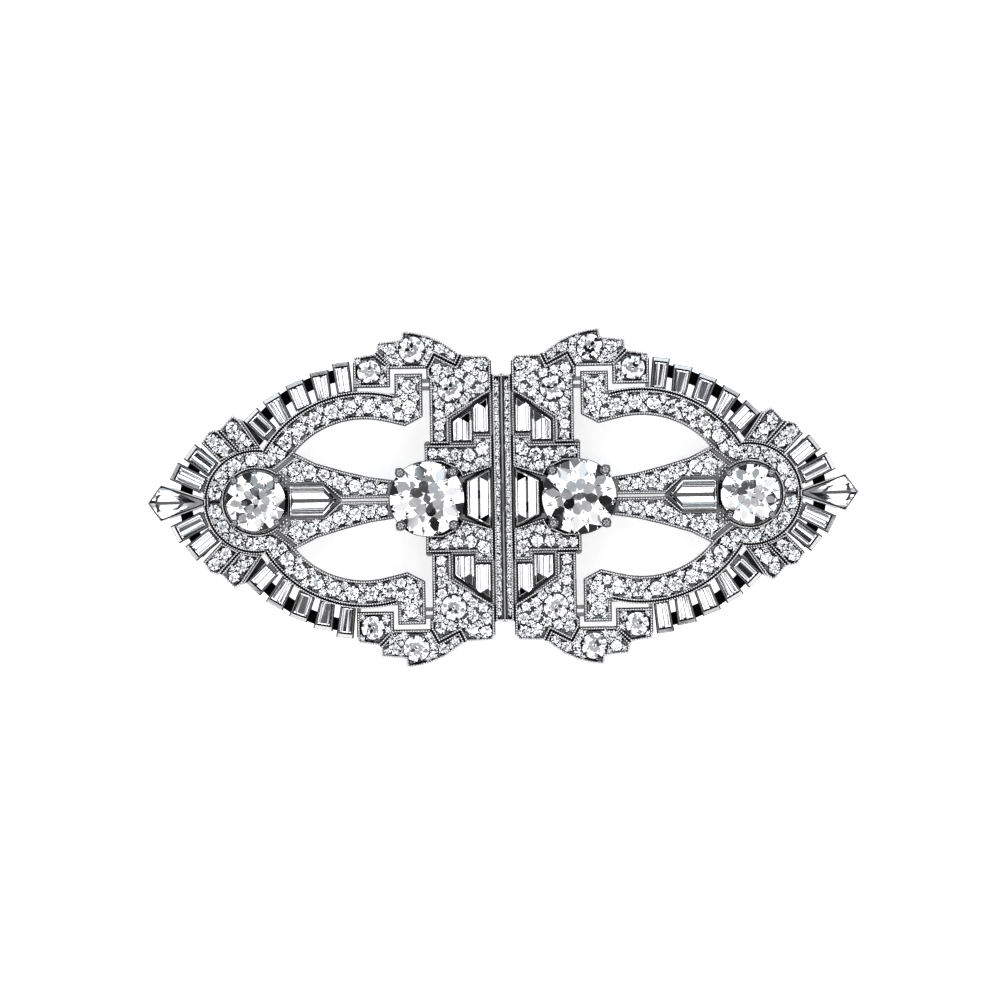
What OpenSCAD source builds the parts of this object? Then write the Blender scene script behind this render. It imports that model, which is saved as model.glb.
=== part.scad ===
// Double clip brooch: two mirrored diamond clips that slide onto one brooch frame.
// u is the distance from the seam between the clips, v the distance from the long axis.

/* [Clip] */
// Length of one clip, from the seam to its tip
clip_length = 40; // [39.8:0.1:41]
// Gap between the two clips
seam_gap = 0.3; // [0.2:0.05:0.5]
// Height of the mount's back above the surface that the brooch lies on
back_z = 4; // [4:0.05:4.1]
// Height of the beds that the small stones lie over
bed_z = 5.1; // [5:0.05:5.15]
// Height of the beaded borders
rim_z = 6; // [6:0.05:6.2]
// Width of the borders
rim_w = 0.3; // [0.2:0.05:0.3]

/* [Arc] */
// Centre of the arc band, from the seam
arc_u = 15.6; // [15.5:0.05:15.7]
// Centre of the arc band, from the long axis
arc_v = -1.1; // [-1.2:0.05:-1]
// Inner radius of the arc band
arc_inner_r = 10.15; // [10.1:0.05:10.3]
// Outer radius of the arc band
arc_outer_r = 13.3; // [13.2:0.05:13.35]

/* [Stones] */
// Radius of the large stone
large_r = 4.17; // [4:0.01:4.17]
// Radius of the stone at the outer end
end_r = 3.32; // [3.2:0.01:3.32]
// Girdle height of the large stone
large_girdle_z = 7.4; // [7.4:0.05:7.6]
// Girdle height of the end stone
end_girdle_z = 7; // [7:0.05:7.2]
// Table width of a round stone, as a share of its diameter
table_share = 0.56; // [0.5:0.01:0.6]
// Crown height of a round stone, as a share of its radius
crown_share = 0.3; // [0.24:0.01:0.32]
// Pavilion depth of a round stone, as a share of its radius
pavilion_share = 0.8; // [0.76:0.01:0.82]

/* [Fittings] */
// Half length of the brooch frame's rail
rail_half = 12.5; // [12:0.1:12.8]
// Width of the rail
rail_w = 3.2; // [2.8:0.1:3.2]
// Thickness of the rail
rail_t = 0.8; // [0.6:0.05:0.8]
// Radius of the brooch pin
pin_r = 0.4; // [0.35:0.05:0.45]
// Thickness of a clip's spring flap
flap_t = 0.6; // [0.5:0.05:0.6]
// Running gap round the rail
slide_gap = 0.25; // [0.2:0.05:0.3]

/* [Hidden] */
$fn = 48;
far = 60;
metal_colour = [0.80, 0.81, 0.83];
stone_colour = [0.93, 0.95, 0.98];
frame_colour = [0.70, 0.71, 0.73];
joint_overlap = 0.1;

// Centres of the large stone and the end stone
large_u = 8.54;
end_u = 27.75;
ring_r = 5.95;
ring_bed_r = [3.9, 5.62];

// Stones stay this far from the metal, and their pockets leave this wall
stone_gap = 0.06;
wall = 0.2;

// Girdle heights
small_girdle_z = rim_z - 0.08;
medium_girdle_z = rim_z + 0.1;
channel_girdle_z = rim_z - 0.05;
baguette_top_z = rim_z - 0.1;
baguette_floor_z = back_z + 0.9;
baguette_girdle_z = baguette_top_z - 0.1;
bullet_top_z = rim_z + 0.4;
kite_top_z = rim_z + 0.5;

// Outlines of the upper half, as u and v
spine_w = 0.95;
spine_top = 13.95;
spine_u = seam_gap / 2;
block = [[1.1, 12], [1.1, 15.5], [1.55, 16.1], [4.5, 16.2], [5.1, 14.95], [7.5, 16.2],
    [8.15, 15], [8.4, 14.65], [8.4, 13.5], [8.1, 13.5], [8.1, 6.1], [5.9, 6.1], [5.9, 9]];
crown_top = [[4.5, 16.2], [5.5, 16.95], [6.7, 17.8], [8.2, 18.45], [9.7, 18.85], [11.15, 19],
    [11.25, 18], [14, 17.75], [14.1, 16.5], [12.9, 15.2], [12.9, 14.95], [12.5, 14.65],
    [8.4, 14.65], [8.15, 15], [7.5, 16.2], [5.1, 14.95]];
panel = [[12.5, 12.6], [16.65, 12.6], [16.65, 16.1], [14.1, 16.5], [12.5, 15]];
member = [[1.1, 3.4], [1.1, 7.05], [3.25, 7.05], [3.25, 6.1], [8.75, 6.1], [8.75, 4],
    [6.9, 4], [5, 3.1], [4.6, 2.3]];
window_frame = [[1, 6], [6.1, 6], [6.1, 9.2], [1, 12.9]];
window = [[1.4, 7.25], [3.3, 7.25], [3.3, 6.3], [5.7, 6.3], [5.7, 8.85], [1.4, 11.95]];
inner_calibre = [[1.5, 7.35], [3.25, 7.35], [3.25, 10.25], [1.5, 11.5]];
outer_calibre = [[3.4, 6.4], [5.5, 6.4], [5.5, 8.6], [3.4, 10.1]];
trapeze = [[1.35, -3.35], [4.05, -1.95], [4.05, 1.95], [1.35, 3.35]];
hook = [[8.9, 9.25], [10.9, 8.2], [12.9, 8.7], [12.9, 11.9], [12, 11.9], [12, 14.1], [8.9, 14.1]];
hook_bed = [[9.2, 9.45], [10.9, 8.55], [13.1, 9.1], [13.1, 11.5], [11.7, 11.5], [11.7, 13.8],
    [9.2, 13.8]];
bridge_bars = [[[8, 12.2], [9, 12.2], [9, 12.65], [8, 12.65]],
    [[8, 13.05], [9, 13.05], [9, 13.5], [8, 13.5]]];
panel_link = [[16.2, 12], [16.65, 12], [16.65, 12.8], [16.2, 12.8]];
stem = [[11.5, 0], [12.3, 2.15], [15, 2.55], [18, 3.3], [21, 4.2], [23.35, 5.4], [26.9, 5.93],
    [end_u, 4], [end_u, 0]];
stem_bed = [[12.9, 0.5], [18.3, 0.5], [20, 2.05], [24.1, 2.05], [23.9, 2.6], [25, 3.4],
    [23.3, 4.85], [21.1, 3.9], [18.05, 3], [15, 2.25], [12.9, 1.95]];
bullet = [[24.15, -1.75], [24.15, 1.75], [20.1, 1.75], [18.55, 0], [20.1, -1.75]];
kite = [[33.4, -0.4], [38.45, -2.15], [clip_length, 0], [38.45, 2.15], [33.4, 0.4]];
kite_seat = [[34.4, 0], [38.35, -1.9], [39.72, 0], [38.35, 1.9]];
junction_bed = [[23.89, 5.26], [25.9, 3.75], [26.4, 3.7], [27, 5.5], [26.56, 5.49], [25.755, 6.69]];
bar_two = [[27.2, 6], [29.7, 5.6], [31.95, 8.1], [30.35, 9.85], [29.5, 9.35]];
bar_one = [[29.6, 5.6], [31.75, 4.5], [33.9, 6.75], [33.1, 8], [32.3, 8.25], [31.8, 8]];

// Long baguettes: inner end's centre u and v, outer end's centre u and v, inner and outer width
baguettes = [
    [26.1, 7.6, 28.3, 9.8, 1.75, 2.0],
    [24.25, 8.8, 25.95, 11.75, 1.4, 1.95],
    [22.2, 10.4, 23.3, 13.3, 1.75, 1.95],
    [19.9, 11.25, 20.5, 14.5, 1.45, 2.0],
    [17.6, 11.95, 18.05, 15.45, 1.5, 1.75],
    [33.6, 1.9, 36.98, 3.6, 1.75, 1.95],
    [32.55, 3.65, 35.2, 5.75, 1.75, 1.9],
];

// Medium rounds: u, v and radius
corner_round = [10, 16.8, 1.45];
shoulder_round = [5.75, 12.3, 1.4];
panel_round = [14.85, 14.4, 1.3];

// Small rounds of the upper half: u, v and radius
block_rounds = [[2.15, 15.1, 0.66], [3.65, 14.85, 0.65], [2.1, 13.6, 0.62], [3.5, 13.3, 0.58],
    [7.25, 14.55, 0.6]];
crown_rounds = [[5.6, 16.05, 0.44], [6.9, 16.85, 0.55], [8.1, 17.5, 0.42], [12.5, 16.85, 0.62],
    [12.3, 15.55, 0.38]];
bar_rounds = [for (k = [0:3]) [7.05, 7 + 1.22 * k, 0.54]];
member_rounds = [[7.85, 5.1, 0.55], [6.6, 5.15, 0.56], [5.2, 4.95, 0.6], [3.75, 4.9, 0.68],
    [2.2, 5.5, 0.74]];
stem_rounds = [[13.55, 1.25, 0.58], [15.05, 1.4, 0.62], [16.65, 1.6, 0.68], [18.4, 2, 0.74],
    [20.1, 2.9, 0.67], [21.75, 3.25, 0.76], [23.4, 3.5, 0.7]];
tip_bar_rounds = [[28.6, 6.65, 0.42], [29.5, 7.3, 0.64], [30.4, 8.4, 0.62],
    [31.3, 5.8, 0.64], [32.6, 6.95, 0.68]];
arc_round_r = 0.78;
arc_rounds = [for (k = [0:6]) concat(on_arc(11.65, 41 + 10.4 * k), arc_round_r)];
hook_rounds = [[10.45, 10.35, 0.78], [10.45, 12.6, 0.76], [26.15, 4.75, 0.7]];
ring_rounds = [for (k = [-3.5:3.5]) [end_u + 4.78 * cos(24 * k), 4.78 * sin(24 * k), 0.72]];

// Fittings
sleeve = [1.5, 11.5];
lip_t = 0.4;
sleeve_wall = 0.8;
rail_z = back_z - 0.3 - rail_t;
lip_z = rail_z - slide_gap - lip_t;
lug = [1.6, 1.6];
pin_z = 1.4;

// A point on a circle round the arc band's centre
function on_arc(r, angle) = [arc_u + r * cos(angle), arc_v + r * sin(angle)];

function unit(d) = d / norm(d);
function inward(a, b) = let (e = unit(b - a)) [-e[1], e[0]];

// A convex outline, listed anticlockwise, with each side moved inwards by d
function inset(p, d) = let (n = len(p)) [
    for (i = [0:n - 1])
        let (a = inward(p[(i + n - 1) % n], p[i]), b = inward(p[i], p[(i + 1) % n]))
        p[i] + d * (a + b) / (1 + a * b)
];

// Outline of a baguette's setting, from its row in the table
function setting(row) = let (
    a = [row[0], row[1]],
    b = [row[2], row[3]],
    n = inward(a, b)
) [a - n * row[4] / 2, b - n * row[5] / 2, b + n * row[5] / 2, a + n * row[4] / 2];

function ring(n, r, z, c, turn) = [
    for (i = [0:n - 1]) [c[0] + r * cos(turn + 360 * i / n), c[1] + r * sin(turn + 360 * i / n), z]
];
function belt(upper, lower, n) = [
    for (i = [0:n - 1]) [upper + i, upper + (i + 1) % n, lower + (i + 1) % n, lower + i]
];
function shifted(faces, by) = [for (f = faces) [for (i = f) i + by]];

// Single cut: table of eight sides, eight crown facets, eight pavilion facets
single_count = 17;
function single_points(s, z) = concat(
    ring(8, s[2] * 0.6, z + s[2] * crown_share, s, 22.5),
    ring(8, s[2], z, s, 22.5),
    [[s[0], s[1], z - s[2] * 0.82]]
);
single_faces = concat(
    [[for (i = [7:-1:0]) i]],
    belt(0, 8, 8),
    [for (i = [0:7]) [8 + i, 8 + (i + 1) % 8, 16]]
);

// Brilliant cut: table, star, kite and girdle facets above, mains and halves below
function brilliant_points(s, z) = let (
    r = s[2],
    half = cos(22.5),
    star_r = 0.76 * r,
    star_z = crown_share * r * (r - star_r * half) / (r - table_share * r),
    low_r = 0.4 * r,
    low_z = pavilion_share * r * (1 - low_r * half / r)
) concat(
    ring(8, r * table_share, z + crown_share * r, s, 22.5),
    ring(8, star_r, z + star_z, s, 0),
    ring(16, r, z, s, 0),
    ring(8, low_r, z - low_z, s, 0),
    [[s[0], s[1], z - pavilion_share * r]]
);
brilliant_faces = concat(
    [[for (i = [7:-1:0]) i]],
    [for (k = [0:7]) [(k + 7) % 8, k, 8 + k]],
    [for (k = [0:7]) [k, 8 + (k + 1) % 8, 17 + 2 * k, 8 + k]],
    [for (k = [0:7]) [8 + k, 17 + 2 * k, 16 + 2 * k]],
    [for (k = [0:7]) [8 + k, 16 + 2 * k, 16 + (2 * k + 15) % 16]],
    [for (k = [0:7]) [16 + 2 * k, 17 + 2 * k, 32 + k]],
    [for (k = [0:7]) [16 + (2 * k + 15) % 16, 16 + 2 * k, 32 + k]],
    [for (k = [0:7]) [17 + 2 * k, 32 + (k + 1) % 8, 40, 32 + k]]
);

// Step cut on a convex outline: share of the half width cut away, and height, ring by ring
step_rings = [[0.42, 0.25], [0.2, 0.15], [0, 0], [0.36, -0.36], [0.8, -0.7]];
function step_points(p, z, half_w, deep) = [
    for (s = step_rings)
        for (q = inset(p, s[0] * half_w))
            [q[0], q[1], z + s[1] * deep]
];
function step_faces(n) = concat(
    [[for (i = [n - 1:-1:0]) i]],
    [for (k = [0:3]) each belt(k * n, (k + 1) * n, n)],
    [[for (i = [0:n - 1]) 4 * n + i]]
);

module both_halves() {
    children();
    mirror([0, 1, 0]) children();
}

module lower() {
    mirror([0, 1, 0]) children();
}

module left() {
    mirror([1, 0, 0]) children();
}

module round_field(rows, z) {
    color(stone_colour)
        polyhedron(
            points = [for (s = rows) each single_points(s, z)],
            faces = [for (k = [0:len(rows) - 1]) each shifted(single_faces, k * single_count)]
        );
}

module brilliant(s, z) {
    color(stone_colour) polyhedron(points = brilliant_points(s, z), faces = brilliant_faces);
}

module step_cut(p, z, half_w, deep = 1) {
    color(stone_colour)
        polyhedron(points = step_points(p, z, half_w, deep), faces = step_faces(len(p)));
}

// Sector of a flat ring, between two angles under 180 degrees apart
module sector(c, r, angles) {
    span = [for (a = [angles[0], (angles[0] + angles[1]) / 2, angles[1]]) [cos(a), sin(a)]];
    translate(c) intersection() {
        difference() {
            circle(r[1]);
            circle(r[0]);
        }
        polygon(concat([[0, 0]], far * span));
    }
}

// The upper half's outline, without the baguettes' settings
module half_outline() {
    polygon([[spine_u, 0], [spine_u, spine_top], [spine_u + spine_w + 0.1, spine_top],
        [spine_u + spine_w + 0.1, 0]]);
    polygon([[1, 0], [1, 3.6], [4.8, 2.5], [6, 0]]);
    polygon(block);
    polygon(crown_top);
    polygon(panel);
    polygon(member);
    polygon(window_frame);
    polygon(hook);
    for (bar = bridge_bars) polygon(bar);
    polygon(panel_link);
    polygon(stem);
    polygon(bar_two);
    polygon(bar_one);
    translate([8.4, 6.1]) circle(0.38);
    sector([arc_u, arc_v], [arc_inner_r, arc_outer_r], [32, 106]);
}

module outline() {
    both_halves() half_outline();
    translate([large_u, 0]) circle(large_r + 0.1);
    translate([end_u, 0]) circle(ring_r);
    polygon(kite);
}

// Where the small stones lie, down to the bed
module half_beds() {
    polygon([[spine_u + 0.2, 0], [spine_u + 0.2, 13.75], [0.92, 13.75], [0.92, 0]]);
    offset(delta = -rim_w) polygon(block);
    offset(delta = -rim_w) polygon(crown_top);
    offset(delta = -rim_w) polygon(panel);
    offset(delta = -rim_w) polygon(member);
    offset(delta = -rim_w) polygon(bar_two);
    offset(delta = -rim_w) polygon(bar_one);
    polygon(window);
    polygon(hook_bed);
    polygon(junction_bed);
    polygon(stem_bed);
    sector([arc_u, arc_v], [arc_inner_r + rim_w, arc_outer_r - 0.5], [37.5, 105]);
    sector([end_u, 0], ring_bed_r, [-1, 112]);
}

module beds() {
    difference() {
        both_halves() half_beds();
        translate([large_u, 0]) circle(large_r + 0.2);
        translate([end_u, 0]) circle(ring_bed_r[0]);
    }
    offset(delta = stone_gap) polygon(trapeze);
}

// Pierced slit of the stem and the crescents beside the end stone
module piercings() {
    translate([12.9, -0.15]) square([5.3, 0.3]);
    both_halves() sector([end_u, 0], [end_r - 0.05, end_r + 0.3], [57, 123]);
}

// A closed bezel with a pocket for a stone of outline p
module bezel(p, z, floor_z) {
    difference() {
        translate([0, 0, back_z + 0.5]) linear_extrude(z - back_z - 0.5) polygon(p);
        translate([0, 0, floor_z]) linear_extrude(z) polygon(inset(p, wall));
    }
}

// Tube under a large round stone
module collet(u, r, top_z) {
    translate([u, 0, bed_z]) difference() {
        cylinder(r = r - 0.07, h = top_z - bed_z);
        translate([0, 0, -1]) cylinder(r = r - 0.42, h = top_z);
    }
}

// Four claws round a large stone: post beside the girdle, ball over the crown
module claws(u, r, girdle_z, ball_r) {
    post_r = ball_r / 2;
    for (angle = [45:90:315])
        translate([u, 0, 0]) rotate(angle) {
            translate([r + 0.25, 0, back_z]) cylinder(r = post_r, h = girdle_z - 0.3 - back_z);
            translate([r + post_r + 0.1, 0, girdle_z - 0.6]) cylinder(r = post_r, h = 0.6 + ball_r);
            translate([r + 0.03, 0, girdle_z + 1.42 * ball_r]) rotate(180) sphere(ball_r);
        }
}

// Rail that carries the baguettes' outer ends
module gallery() {
    translate([0, 0, back_z]) linear_extrude(0.8) both_halves() {
        sector([arc_u, arc_v], [14.7, 16.1], [37.5, 84.5]);
        sector([end_u, 0], [7.3, 8.7], [6, 45]);
    }
}

// Channel under the mount that runs on the frame's rail
module sleeve_channel() {
    half = rail_w / 2 + slide_gap;
    length = sleeve[1] - sleeve[0];
    both_halves() {
        translate([sleeve[0], half, lip_z]) cube([length, sleeve_wall, back_z - lip_z + joint_overlap]);
        translate([sleeve[0], half - 0.75, lip_z]) cube([length, 0.75 + sleeve_wall, lip_t]);
    }
}

module seats() {
    for (s = [corner_round, shoulder_round, panel_round])
        both_halves() translate([s[0], s[1], back_z - 1]) cylinder(r = 0.6, h = 3);
    translate([large_u, 0, 0]) cylinder(r = 2, h = far);
    translate([large_u, 0, bed_z]) cylinder(r = large_r - 0.42, h = far);
    translate([end_u, 0, 0]) cylinder(r = 1.6, h = far);
    translate([end_u, 0, bed_z]) cylinder(r = end_r - 0.42, h = far);
    translate([0, 0, bed_z]) linear_extrude(far) polygon(inset(bullet, wall));
    translate([0, 0, bed_z]) linear_extrude(far) polygon(kite_seat);
}

module clip_mount() {
    color(metal_colour) {
        difference() {
            union() {
                translate([0, 0, back_z]) linear_extrude(bed_z - back_z) difference() {
                    outline();
                    piercings();
                }
                translate([0, 0, bed_z]) linear_extrude(rim_z - bed_z) difference() {
                    outline();
                    piercings();
                    beds();
                }
                translate([0, 0, back_z + 1]) linear_extrude(bullet_top_z - back_z - 1) polygon(bullet);
                translate([0, 0, back_z + 1]) linear_extrude(kite_top_z - back_z - 1) polygon(kite);
                collet(large_u, large_r, large_girdle_z - 0.45);
                collet(end_u, end_r, end_girdle_z - 0.45);
            }
            seats();
        }
        claws(large_u, large_r, large_girdle_z, 0.58);
        claws(end_u, end_r, end_girdle_z, 0.42);
        for (row = baguettes)
            both_halves() bezel(setting(row), baguette_top_z, baguette_floor_z);
        gallery();
        sleeve_channel();
    }
}

// Spring flap that grips the cloth, with two prongs behind the stem
module clip_flap() {
    color(frame_colour) {
        translate([3, -5.9, 0]) cube([5, 11.8, flap_t]);
        both_halves() {
            translate([3.5, 4.4, 0]) cube([4, 1.5, back_z - joint_overlap]);
            linear_extrude(flap_t) polygon([[7.5, 0.4], [18, 0.6], [19, 0.9], [18, 1.2], [7.5, 1.8]]);
        }
    }
}

// Rail with its pin, hinge lug and catch, as one plain piece
module brooch_frame() {
    lug_u = rail_half - 1 - lug[0];
    color(frame_colour) {
        translate([-rail_half, -rail_w / 2, rail_z]) cube([2 * rail_half, rail_w, rail_t]);
        for (u = [-lug_u - lug[0], lug_u])
            translate([u, -lug[1] / 2, pin_z - 0.5]) cube([lug[0], lug[1], rail_z - pin_z + 0.6]);
        translate([-lug_u - 1, 0, pin_z]) rotate([0, 90, 0]) cylinder(r = pin_r, h = 2 * lug_u + 2);
    }
}

function small(p) = inset(p, wall + stone_gap);

module large_stone() { brilliant([large_u, 0, large_r], large_girdle_z); }
module end_stone() { brilliant([end_u, 0, end_r], end_girdle_z); }
module kite_stone() { step_cut(inset(kite_seat, stone_gap), kite_top_z - 0.1, 1.4, 1.4); }
module bullet_stone() { step_cut(small(bullet), bullet_top_z - 0.1, 1.3, 1.4); }
module trapeze_stone() { step_cut(trapeze, channel_girdle_z, 1.2); }
module inner_calibre() { step_cut(inner_calibre, channel_girdle_z, 0.8); }
module outer_calibre() { step_cut(outer_calibre, channel_girdle_z, 0.9); }
module corner_stone() { brilliant(corner_round, medium_girdle_z); }
module shoulder_stone() { brilliant(shoulder_round, medium_girdle_z); }
module panel_stone() { brilliant(panel_round, medium_girdle_z); }
module baguette_row() {
    for (row = baguettes) step_cut(small(setting(row)), baguette_girdle_z, row[4] / 2 - 0.3);
}
module arc_row() { round_field(concat(arc_rounds, hook_rounds), small_girdle_z); }
module ring_row() { round_field(ring_rounds, small_girdle_z); }
module stem_row() { round_field(stem_rounds, small_girdle_z); }
module tip_bar_row() { round_field(tip_bar_rounds, small_girdle_z); }
module plate_rows() {
    round_field(concat(block_rounds, crown_rounds, bar_rounds, member_rounds), small_girdle_z);
}

module left_mount() { left() clip_mount(); }
module right_mount() { clip_mount(); }
module left_flap() { left() clip_flap(); }
module right_flap() { clip_flap(); }
module left_large_stone() { left() large_stone(); }
module right_large_stone() { large_stone(); }
module left_end_stone() { left() end_stone(); }
module right_end_stone() { end_stone(); }
module left_kite_stone() { left() kite_stone(); }
module right_kite_stone() { kite_stone(); }
module left_bullet_stone() { left() bullet_stone(); }
module right_bullet_stone() { bullet_stone(); }
module left_trapeze_stone() { left() trapeze_stone(); }
module right_trapeze_stone() { trapeze_stone(); }
module left_inner_calibre_upper() { left() inner_calibre(); }
module left_inner_calibre_lower() { left() lower() inner_calibre(); }
module right_inner_calibre_upper() { inner_calibre(); }
module right_inner_calibre_lower() { lower() inner_calibre(); }
module left_outer_calibre_upper() { left() outer_calibre(); }
module left_outer_calibre_lower() { left() lower() outer_calibre(); }
module right_outer_calibre_upper() { outer_calibre(); }
module right_outer_calibre_lower() { lower() outer_calibre(); }
module left_corner_stone_upper() { left() corner_stone(); }
module left_corner_stone_lower() { left() lower() corner_stone(); }
module right_corner_stone_upper() { corner_stone(); }
module right_corner_stone_lower() { lower() corner_stone(); }
module left_shoulder_stone_upper() { left() shoulder_stone(); }
module left_shoulder_stone_lower() { left() lower() shoulder_stone(); }
module right_shoulder_stone_upper() { shoulder_stone(); }
module right_shoulder_stone_lower() { lower() shoulder_stone(); }
module left_panel_stone_upper() { left() panel_stone(); }
module left_panel_stone_lower() { left() lower() panel_stone(); }
module right_panel_stone_upper() { panel_stone(); }
module right_panel_stone_lower() { lower() panel_stone(); }
module left_baguettes_upper() { left() baguette_row(); }
module left_baguettes_lower() { left() lower() baguette_row(); }
module right_baguettes_upper() { baguette_row(); }
module right_baguettes_lower() { lower() baguette_row(); }
module left_arc_pave_upper() { left() arc_row(); }
module left_arc_pave_lower() { left() lower() arc_row(); }
module right_arc_pave_upper() { arc_row(); }
module right_arc_pave_lower() { lower() arc_row(); }
module left_ring_pave() { left() ring_row(); }
module right_ring_pave() { ring_row(); }
module left_stem_pave() { left() both_halves() stem_row(); }
module right_stem_pave() { both_halves() stem_row(); }
module left_tip_bar_pave() { left() both_halves() tip_bar_row(); }
module right_tip_bar_pave() { both_halves() tip_bar_row(); }
module left_plate_pave_upper() { left() plate_rows(); }
module left_plate_pave_lower() { left() lower() plate_rows(); }
module right_plate_pave_upper() { plate_rows(); }
module right_plate_pave_lower() { lower() plate_rows(); }

brooch_frame();
left_mount();
right_mount();
left_flap();
right_flap();
left_large_stone();
right_large_stone();
left_end_stone();
right_end_stone();
left_kite_stone();
right_kite_stone();
left_bullet_stone();
right_bullet_stone();
left_trapeze_stone();
right_trapeze_stone();
left_inner_calibre_upper();
left_inner_calibre_lower();
right_inner_calibre_upper();
right_inner_calibre_lower();
left_outer_calibre_upper();
left_outer_calibre_lower();
right_outer_calibre_upper();
right_outer_calibre_lower();
left_corner_stone_upper();
left_corner_stone_lower();
right_corner_stone_upper();
right_corner_stone_lower();
left_shoulder_stone_upper();
left_shoulder_stone_lower();
right_shoulder_stone_upper();
right_shoulder_stone_lower();
left_panel_stone_upper();
left_panel_stone_lower();
right_panel_stone_upper();
right_panel_stone_lower();
left_baguettes_upper();
left_baguettes_lower();
right_baguettes_upper();
right_baguettes_lower();
left_arc_pave_upper();
left_arc_pave_lower();
right_arc_pave_upper();
right_arc_pave_lower();
left_ring_pave();
right_ring_pave();
left_stem_pave();
right_stem_pave();
left_tip_bar_pave();
right_tip_bar_pave();
left_plate_pave_upper();
left_plate_pave_lower();
right_plate_pave_upper();
right_plate_pave_lower();
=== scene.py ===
"""Looks of the double clip brooch: cut stones, bead setting, milgrain and finishes."""

import math
import random

import bmesh
import bpy
import numpy as np
from mathutils import Matrix, Vector


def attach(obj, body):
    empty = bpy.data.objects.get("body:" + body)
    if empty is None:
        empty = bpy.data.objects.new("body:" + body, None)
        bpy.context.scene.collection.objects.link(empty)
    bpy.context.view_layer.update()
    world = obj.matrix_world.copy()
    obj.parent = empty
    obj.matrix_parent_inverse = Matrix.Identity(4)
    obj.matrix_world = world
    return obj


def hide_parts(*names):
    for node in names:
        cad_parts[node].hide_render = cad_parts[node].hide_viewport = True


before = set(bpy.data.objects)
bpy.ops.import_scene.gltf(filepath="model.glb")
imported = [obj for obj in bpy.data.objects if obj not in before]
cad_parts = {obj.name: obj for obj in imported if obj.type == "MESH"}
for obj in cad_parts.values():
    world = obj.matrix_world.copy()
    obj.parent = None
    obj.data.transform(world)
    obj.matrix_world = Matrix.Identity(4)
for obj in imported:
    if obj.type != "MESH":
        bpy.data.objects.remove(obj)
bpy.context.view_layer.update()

MM = 0.001
# Signs of the two clips, and of the halves on both sides of the long axis
SIDES = {"left": -1, "right": 1}
HALVES = {"upper": 1, "lower": -1}
UPPER = (1,)
BOTH_HALVES = (1, -1)
SEED = 7

# Sizes of the part's source, in millimetres. u is the distance from the seam, v from the long axis
CLIP_LENGTH = 40.0
BED_Z = 5.1
RIM_Z = 6.0
RIM_W = 0.3
ARC_CENTRE = (15.6, -1.1)
ARC_INNER_R = 10.15
ARC_OUTER_R = 13.3
LARGE_U = 8.54
LARGE_R = 4.17
LARGE_GIRDLE_Z = 7.4
END_U = 27.75
END_R = 3.32
END_GIRDLE_Z = 7.0
RING_R = 5.95
RING_BED_R = (3.9, 5.62)
SMALL_GIRDLE_Z = 5.92
MEDIUM_GIRDLE_Z = 6.1
CHANNEL_GIRDLE_Z = 6.02
TRAPEZE_GIRDLE_Z = 6.3
BAGUETTE_GIRDLE_Z = 5.93
BULLET_TOP_Z = 6.4
KITE_TOP_Z = 6.5
SPINE_TOP = 13.95
SEAM_U = 0.15
SPINE_U = 1.1

BLOCK = [(1.1, 12), (1.1, 15.5), (1.55, 16.1), (4.5, 16.2), (5.1, 14.95), (7.5, 16.2), (8.15, 15),
         (8.4, 14.65), (8.4, 13.5), (8.1, 13.5), (8.1, 6.1), (5.9, 6.1), (5.9, 9)]
CROWN_TOP = [(4.5, 16.2), (5.5, 16.95), (6.7, 17.8), (8.2, 18.45), (9.7, 18.85), (11.15, 19),
             (11.25, 18), (14, 17.75), (14.1, 16.5), (12.9, 15.2), (12.9, 14.95), (12.5, 14.65),
             (8.4, 14.65), (8.15, 15), (7.5, 16.2), (5.1, 14.95)]
PANEL = [(12.5, 12.6), (16.65, 12.6), (16.65, 16.1), (14.1, 16.5), (12.5, 15)]
MEMBER = [(1.1, 3.4), (1.1, 7.05), (3.25, 7.05), (3.25, 6.1), (8.75, 6.1), (8.75, 4),
          (6.9, 4), (5, 3.1), (4.6, 2.3)]
WINDOW = [(1.4, 7.25), (3.3, 7.25), (3.3, 6.3), (5.7, 6.3), (5.7, 8.85), (1.4, 11.95)]
INNER_CALIBRE = [(1.5, 7.35), (3.25, 7.35), (3.25, 10.25), (1.5, 11.5)]
OUTER_CALIBRE = [(3.4, 6.4), (5.5, 6.4), (5.5, 8.6), (3.4, 10.1)]
TRAPEZE = [(1.35, -3.35), (4.05, -1.95), (4.05, 1.95), (1.35, 3.35)]
HOOK_BED = [(9.2, 9.45), (10.9, 8.55), (13.1, 9.1), (13.1, 11.5), (11.7, 11.5), (11.7, 13.8),
            (9.2, 13.8)]
STEM_BED = [(12.9, 0.5), (18.3, 0.5), (20, 2.05), (24.1, 2.05), (23.9, 2.6), (25, 3.4),
            (23.3, 4.85), (21.1, 3.9), (18.05, 3), (15, 2.25), (12.9, 1.95)]
BULLET = [(24.15, -1.75), (24.15, 1.75), (20.1, 1.75), (18.55, 0), (20.1, -1.75)]
KITE = [(33.4, -0.4), (38.45, -2.15), (CLIP_LENGTH, 0), (38.45, 2.15), (33.4, 0.4)]
KITE_SEAT = [(34.4, 0), (38.35, -1.9), (39.72, 0), (38.35, 1.9)]
JUNCTION_BED = [(23.89, 5.26), (25.9, 3.75), (26.4, 3.7), (27, 5.5), (26.56, 5.49), (25.755, 6.69)]
BAR_TWO = [(27.2, 6), (29.7, 5.6), (31.95, 8.1), (30.35, 9.85), (29.5, 9.35)]
BAR_ONE = [(29.6, 5.6), (31.75, 4.5), (33.9, 6.75), (33.1, 8), (32.3, 8.25), (31.8, 8)]

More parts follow.
